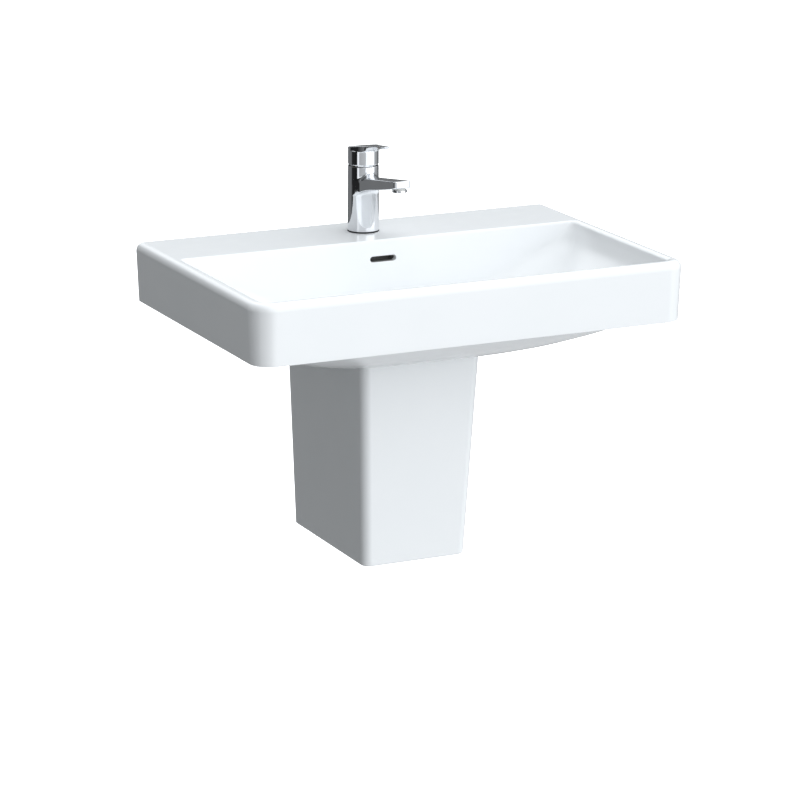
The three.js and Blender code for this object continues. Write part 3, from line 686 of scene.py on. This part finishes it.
# ---- semi-pedestal ----

pedestalShape = {
    "topWidth": 201, "bottomWidth": 172.6, "topDepth": 282, "bottomDepth": 257,
    "widthAt": -121, "bottom": height("semi_pedestal", 0), "corner": 14, "wall": 11, "gap": 2.5,
}


def pedestalRing(z, inset, back, extra=0.0):
    p = pedestalShape
    share = (z - p["bottom"]) / (p["widthAt"] - p["bottom"])
    half = (p["bottomWidth"] + (p["topWidth"] - p["bottomWidth"]) * share) / 2 - inset - extra
    front = -(p["bottomDepth"] + (p["topDepth"] - p["bottomDepth"]) * share) + inset + extra
    radius = max(p["corner"] - inset, 4) - extra
    return roundedRing(z, half, front, back, radius, 1, arc=16, side=6)


def pedestalForm(name, inset, low, high, back, soft):
    rings = []
    for k in range(6):
        angle = math.radians(90 * k / 5)
        rings.append(pedestalRing(low + soft * (1 - math.cos(angle)), inset, back, soft * (1 - math.sin(angle))))
    for share in (0.25, 0.5, 0.75, 1):
        rings.append(pedestalRing(low + soft + (high - low - soft) * share, inset, back))
    verts, faces = stackRings(rings)
    return newPiece(name, verts, faces)


def makePedestal():
    p = pedestalShape
    top = -90
    piece = pedestalForm("glazed_semi_pedestal", 0, p["bottom"], top, 0, 3)
    carve(piece, [pedestalForm("inside", p["wall"], p["bottom"] + p["wall"], top + 5, 5, 5)])
    lugs = []
    holes = []
    for side in ("left", "right"):
        x, _, z = middle("pedestal_stud_" + side)
        z -= rimTop / mm
        lug = brick("lug", (x - 13.5, -13, z - 23), (x + 13.5, -0.5, z + 23))
        lugs.append(lug)
        holes.append(rod("lug hole", 6, -16, 3, at=(x, 0, z), soft=0, along="y"))
    carve(piece, lugs, "UNION")
    carve(piece, holes)
    grown = bellyRings(p["gap"])
    verts, faces = stackRings([*grown, [(x, y, 0) for x, y, _ in grown[-1]]])
    under = newPiece("belly", verts, faces)
    reach = -basinShape["deck"] + basinShape["wall"] + p["gap"]
    carve(under, [brick("front half", (-400, -500, -300), (400, reach, 50))], "INTERSECT")
    level = -basinShape["apron"] - p["gap"]
    carve(piece, [under, brick("level", (-200, -300, level), (200, 10, -60))])
    settle(piece, "semi_pedestal", angle=32)


makePedestal()
print("semi-pedestal ready")


# ---- tap ----

tapShape = {
    "base": 24.4, "top": 23.75, "low": 1.8, "high": 103, "edge": 0.7,
    "spoutHalf": 14.2, "reach": 142, "tipCorner": 5, "rootBlend": 5,
    "chamber": 18.4, "chamberFloor": 56, "mouth": 22.4, "mouthFloor": 89.5,
    "aeratorReach": 130, "aerator": 11.4, "step": 0.7,
}


def makeTapBody():
    t = tapShape
    low = (-29, -146, -1)
    x, y, z = fieldGrid(low, (29, 29, 107), t["step"])
    ahead = -y
    around = np.sqrt(x ** 2 + y ** 2)
    radius = t["base"] + (t["top"] - t["base"]) * z / t["high"]
    column = meet(around - radius, np.maximum(t["low"] - z, z - t["high"]), t["edge"])
    # the spout: sides that flare into the column, an underside and a roof that both rise towards the tip
    corner = t["tipCorner"]
    flare = 4 * np.clip((44 - ahead) / 30, 0, 1) ** 2
    out = np.maximum(np.abs(x) - (t["spoutHalf"] + flare - corner), 0)
    far = np.maximum(ahead - (t["reach"] - corner), 0)
    plan = np.sqrt(out ** 2 + far ** 2) - corner
    rise = math.atan2(15.6, 82)
    sag = 3.2 * np.clip((48 - ahead) / 26, 0, 1) ** 2
    floor = (73 - sag + (ahead - 48) * math.tan(rise) - z) * math.cos(rise)
    tipFloor = (88.6 + (ahead - 130) * 0.25 - z) * 0.97
    roofRise = math.atan2(12.6, 90)
    swell = np.clip((52 - ahead) / 26, 0, 1) ** 2 * (5 - 0.035 * x ** 2)
    roof = (z - (90.8 + swell + (ahead - 52) * math.tan(roofRise))) * math.cos(roofRise)
    spout = meet(meet(plan, roof, 2.6), meet(floor, tipFloor, 3.0), 1.2)
    spout = meet(spout, 8 - ahead, 0.5)
    body = merge(column, spout, t["rootBlend"])
    body = meet(body, np.maximum(t["low"] - z, z - t["high"]), t["edge"])
    bores = [
        np.maximum(around - t["chamber"], t["chamberFloor"] - z),
        np.maximum(around - t["mouth"], t["mouthFloor"] - z),
        np.maximum(around - 19.5, z - 9),
        np.maximum(np.sqrt(x ** 2 + (ahead - t["aeratorReach"]) ** 2) - 9.8, z - 95.5),
        np.maximum(np.sqrt(x ** 2 + (ahead - t["aeratorReach"]) ** 2) - t["aerator"] - 0.3, z - 88.7),
    ]
    for bore in bores:
        body = meet(body, -bore, 0.4)
    piece = castPiece("chrome_tap_body", body, low, t["step"], at=(0, tapY, 0))
    settle(piece, "tap_body", angle=50)


def planDistance(outline, x, y):
    # signed distance to a closed outline, minus inside
    points = np.array(outline, dtype=np.float32)
    nearest = np.full(x.shape, 1e9, dtype=np.float32)
    inside = np.zeros(x.shape, dtype=bool)
    for (ax, ay), (bx, by) in zip(points, np.roll(points, -1, axis=0)):
        dx, dy = bx - ax, by - ay
        share = np.clip(((x - ax) * dx + (y - ay) * dy) / max(dx * dx + dy * dy, 1e-9), 0, 1)
        nearest = np.minimum(nearest, (x - ax - share * dx) ** 2 + (y - ay - share * dy) ** 2)
        if ay != by:
            crosses = ((ay > y) != (by > y)) & (x < (bx - ax) * (y - ay) / (by - ay) + ax)
            inside ^= crosses
    return np.where(inside, -1, 1) * np.sqrt(nearest)


leverShape = {
    "skirtLow": 105.3, "lipLow": 102.6, "capTop": 127.4, "radius": 23.75, "reach": 88,
    "tipHalf": 6, "waist": 8.5, "skirt": 2.4, "step": 0.6,
    "roof": ((-24.75, 128.9), (20, 136.6), (47, 141.0), (68, 143.9), (89, 146.6)),
    "under": ((-24.75, 126.9), (20, 126.9), (27, 128.2), (38, 132.2), (62, 138.4), (89, 143.0)),
}


def leverPlan():
    # the blade seen from above: as wide as the cap at the back, narrowing quickly to a slim tip
    h = leverShape
    right = [(h["radius"] * math.cos(math.radians(90 - 7 * k)), h["radius"] * math.sin(math.radians(90 - 7 * k)))
             for k in range(15)]
    start, end = Vector(right[-1]), Vector((h["tipHalf"], -h["reach"] + 2))
    bend = Vector((h["waist"], -30))
    for k in range(1, 17):
        t = k / 16
        right.append(tuple(start * (1 - t) ** 2 + bend * 2 * t * (1 - t) + end * t ** 2))
    for k in range(1, 7):
        angle = math.radians(90 * k / 6)
        right.append((h["tipHalf"] - 2 + 2 * math.cos(angle), -h["reach"] + 2 - 2 * math.sin(angle)))
    return right + [(-x, y) for x, y in reversed(right[1:])]


def makeHandle():
    h = leverShape
    low = (-26, -91, 101)
    x, y, z = fieldGrid(low, (26, 26, 149), h["step"])
    ahead = -y
    around = np.sqrt(x ** 2 + y ** 2)
    flat = planDistance(leverPlan(), x[:, :, 0], y[:, :, 0])[:, :, None]
    roof = np.interp(ahead, *zip(*h["roof"]))
    underside = np.interp(ahead, *zip(*h["under"]))
    top = (z - roof) * 0.986
    # a blade that rises from the back of the cap; its sides slope inwards as they go down
    undercut = 0.8 * np.clip((ahead - 32) / 16, 0, 1)
    sides = (flat + undercut * (roof - z)) / np.sqrt(1 + undercut ** 2)
    blade = meet(meet(sides, top, 1.2), (underside - z) * 0.97, 0.8)
    cap = meet(around - h["radius"], np.maximum(z - h["capTop"], h["skirtLow"] - z), 0.5)
    body = np.minimum(cap, blade)
    body = meet(body, -np.maximum(around - (h["radius"] - h["skirt"]), z - 123.5), 0.4)
    lip = np.maximum(np.abs(around - 20.7) - 0.5, np.maximum(h["lipLow"] - z, z - 110.7))
    hub = np.maximum(around - 8, np.maximum(108.7 - z, z - 125))
    socket = np.maximum(np.maximum(np.abs(x), np.abs(y)) - 4.3, z - 120.5)
    body = np.minimum(np.minimum(body, np.maximum(hub, -socket)), lip)
    screwWay = np.maximum(np.sqrt(x ** 2 + (z - 114.2) ** 2) - 2.6, 2 - y)
    body = np.maximum(body, -screwWay)
    piece = castPiece("chrome_handle", body, low, h["step"], at=(0, tapY, 0))
    settle(piece, "tap_handle", "handle", angle=50)


def makeTapTrim():
    at = (0, tapY, 0)
    seal = tube("tap_foot_seal", 24.6, 20, 0.3, 1.5, at=at, soft=0.4)
    settle(seal, "tap_base_seal")
    ring = turned("aerator_ring", [(9, 84.6), (11.4, 84.6), (11.4, 88.4), (9, 88.4)],
                  at=(0, tapY - tapShape["aeratorReach"], 0), soft=0.5)
    settle(ring, "tap_aerator_housing")


makeTapBody()
makeHandle()
makeTapTrim()
print("tap ready")


# ---- waste and plug ----

def makeWaste():
    at = (0, drainY, 0)
    top = height("waste_body", 1)
    body = turned("waste_tube", [
        (18.4, -208), (20.8, -208), (20.8, top - 3), (31.5, top - 3), (31.5, top - 1), (30, top),
        (20.5, top - 0.6), (18.4, top - 2.4),
    ], at=at, soft=0.7)
    openings = []
    for side in (-1, 1):
        y = drainY + side * 26
        openings.append(brick("overflow opening", (-6, y - 10, -145), (6, y + 10, -134)))
    carve(body, openings)
    settle(body, "waste_body")
    low = height("plug_cap", 0)
    cap = turned("plug_top", [
        (0, low), (28.8, low), (30.5, low + 1.6), (29.8, low + 3), (24, low + 4.4), (12, low + 5.1), (0, low + 5.4),
    ], at=at, soft=1.6, segments=128)
    settle(cap, "plug_cap", "plug")


makeWaste()
print("waste ready")


# ---- bottle trap ----

trapShape = {
    "headTop": -256, "headLow": -302, "head": 28, "cupLow": -354, "branch": -279, "pipe": 16, "wasteEnd": -208,
}


def makeTrap():
    t = trapShape
    at = (0, drainY, 0)
    head, low, top, pipe = t["head"], t["headLow"], t["headTop"], t["pipe"]
    branchStart, branchEnd = head - 4, head + 26
    outline = [(0, low), (head, low), (head, top + 3), (head - 3, top), (0, top)]
    body = turned("trap_bottle_head", outline, at=at, soft=1.5)
    carve(body, [
        rod("neck", pipe + 4, top - 2, top + 12, at=at, soft=1),
        rod("branch", pipe + 3, branchStart, branchEnd, at=(0, drainY, t["branch"]), soft=1, along="y"),
    ], "UNION")
    carve(body, [
        rod("head bore", head - 3.5, low - 2, top - 4, at=at, soft=0),
        rod("neck bore", pipe + 0.4, top - 6, top + 14, at=at, soft=0),
        rod("branch bore", pipe + 0.4, branchStart - 6, branchEnd + 2,
            at=(0, drainY, t["branch"]), soft=0, along="y"),
    ])
    settle(body, "trap_head")
    cup = turned("trap_bottle_cup", [
        (0, t["cupLow"]), (head - 8, t["cupLow"]), (head - 1, t["cupLow"] + 7), (head - 1, low - 6),
        (head + 1.5, low - 5), (head + 1.5, low - 2), (head - 4, low - 2), (head - 4, t["cupLow"] + 8),
        (head - 9, t["cupLow"] + 3), (0, t["cupLow"] + 3),
    ], at=at, soft=1.5)
    settle(cup, "trap_cup")
    end = t["wasteEnd"]
    nut = turned("trap_inlet_ring", [
        (pipe + 0.4, end - 8), (24, end - 8), (25, end - 7), (25, end + 12), (21.2, end + 12), (21.2, end - 5),
        (pipe + 0.4, end - 5),
    ], at=at, soft=0.8)
    settle(nut, "trap_inlet_nut")
    inlet = tube("trap_dip_tube", pipe, pipe - 1.5, -336, end - 0.3, at=at, soft=0.4)
    settle(inlet, "trap_inlet_tube")
    beside = (0, drainY, t["branch"])
    outletNut = turned("trap_outlet_ring", [
        (pipe + 0.4, branchEnd + 6.4), (22.5, branchEnd + 6.4), (23, branchEnd + 5.4), (23, branchEnd - 12),
        (pipe + 3.4, branchEnd - 12), (pipe + 3.4, branchEnd + 3.3), (pipe + 0.4, branchEnd + 3.3),
    ], at=beside, soft=0.8, along="y")
    settle(outletNut, "trap_outlet_nut")
    wall = -drainY
    pipePiece = tube("trap_wall_pipe", pipe, pipe - 1.5, branchEnd - 9, wall, at=beside, soft=0.3, along="y")
    settle(pipePiece, "trap_outlet_pipe")
    rosette = turned("trap_rosette", [
        (pipe + 0.4, wall - 1), (34, wall - 1), (34, wall - 3), (pipe + 4, wall - 11), (pipe + 0.4, wall - 11),
    ], at=beside, soft=1.5, along="y")
    settle(rosette, "trap_wall_rosette")


makeTrap()
print("trap ready")


# ---- wall fixings ----

def threaded(name, outer, pitch, low, high, **kw):
    # a rod with a 60 degree thread form
    deep = pitch * 0.55
    profile = [(0, low), (outer - deep, low)]
    turns = int((high - low - pitch) / pitch)
    start = low + pitch / 2
    for k in range(turns):
        profile += [(outer - deep, start + k * pitch), (outer, start + (k + 0.5) * pitch)]
    profile += [(outer - deep, start + turns * pitch), (outer - deep, high), (0, high)]
    return turned(name, profile, soft=0, segments=40, **kw)


def hexPiece(name, flats, bore, low, high, at, along="z"):
    # a chamfered hexagon nut
    segments, half = 72, flats / 2
    rings = []
    for level in (0, 1, 2, 3):
        ring = []
        for i in range(segments):
            angle = 2 * math.pi * i / segments
            lean = (angle + math.pi / 6) % (math.pi / 3) - math.pi / 6
            reach = half / math.cos(lean) if level in (1, 2) else bore
            drop = (reach - half) * 0.577 if level in (1, 2) else 0
            rise = low + drop if level in (0, 1) else high - drop
            if level in (0, 3):
                rise = low if level == 0 else high
            x, y = reach * math.cos(angle), reach * math.sin(angle)
            ring.append((x, y, rise) if along == "z" else (x, rise, y))
        rings.append(ring)
    flat = []
    for level, rise in ((0, low), (3, high)):
        ring = []
        for i in range(segments):
            angle = 2 * math.pi * i / segments
            x, y = half * math.cos(angle), half * math.sin(angle)
            ring.append((x, y, rise) if along == "z" else (x, rise, y))
        flat.append(ring)
    rings = [rings[0], flat[0], rings[1], rings[2], flat[1], rings[3]]
    verts, faces = stackRings(rings, closeLoop=True)
    return newPiece(name, verts, faces, at)


def makeFixings():
    for side in ("left", "right"):
        x, _, z = middle("basin_stud_" + side)
        at = (x, 0, z - rimTop / mm)
        face = basinShape["wall"]
        pieces = {
            "stud": threaded("basin_bolt_" + side, 4.9, 1.5, -face - 30, -0.3, at=at, along="y"),
            "bush": turned("basin_collar_" + side, [
                (5.3, -1), (9.7, -1), (9.7, -face - 0.3), (15, -face - 0.3), (15, -face - 4), (5.3, -face - 4),
            ], at=at, along="y"),
            "washer": tube("basin_disc_" + side, 12.5, 5.3, -face - 6.5, -face - 4.3, at=at, along="y"),
            "nut": hexPiece("basin_hex_" + side, 17, 5.3, -face - 15, -face - 6.8, at, "y"),
        }
        for piece, made in pieces.items():
            settle(made, f"basin_{piece}_{side}")
        x, _, z = middle("pedestal_stud_" + side)
        at = (x, 0, z - rimTop / mm)
        face = 13
        pieces = {
            "stud": threaded("pedestal_bolt_" + side, 3.4, 1.25, -face - 19, -0.3, at=at, along="y"),
            "sleeve": turned("pedestal_collar_" + side, [
                (3.8, -1), (5.7, -1), (5.7, -face - 0.3), (10, -face - 0.3), (10, -face - 2.5), (3.8, -face - 2.5),
            ], at=at, along="y"),
            "washer": tube("pedestal_disc_" + side, 9, 3.8, -face - 4.4, -face - 2.8, at=at, along="y"),
            "nut": hexPiece("pedestal_hex_" + side, 13, 3.8, -face - 10.7, -face - 4.7, at, "y"),
        }
        for piece, made in pieces.items():
            settle(made, f"pedestal_{piece}_{side}")


def makeUnderDeck():
    bolt = threaded("tap_bolt", 3.9, 1.25, -52, 21.6, at=(0, tapY + 9.5, 0))
    settle(bolt, "tap_fixing_stud")
    clampNut = hexPiece("tap_hex", 11, 4.3, -32, -20.1, (0, tapY + 9.5, 0))
    settle(clampNut, "tap_clamp_nut")
    for name, side in (("hot", -1), ("cold", 1)):
        union = turned(name + "_tail", [(3, -46), (6.3, -46), (6.3, -34), (5, -34), (5, 24), (3, 24)],
                       at=(side * 8, tapY - 5, 0), soft=0.5, segments=64)
        settle(union, name + "_inlet_union")
    backNut = hexPiece("waste_hex", 58, 21.2, -171, -162.3, (0, drainY, 0))
    settle(backNut, "waste_back_nut")
    for node, outer, inner, name in (("waste_lower_seal", 32, 21.3, "waste_under_seal"),
                                     ("waste_slip_washer", 32, 21.3, "waste_slip_ring")):
        ring = tube(name, outer, inner, height(node, 0), height(node, 1), at=(0, drainY, 0), soft=0.4)
        settle(ring, node)


makeFixings()
makeUnderDeck()
print("fixings ready")


# ---- small inner parts keep their CAD shape and take a finish ----

def finishInnerParts():
    for row in frame["record"]["subparts"]:
        node = frame["nodes"][row["node"]]
        if row["node"] in ("basin", "semi_pedestal"):
            continue
        node.data.materials.clear()
        node.data.materials.append(finishes[row["material_slot"]])


finishInnerParts()
print("inner parts ready")
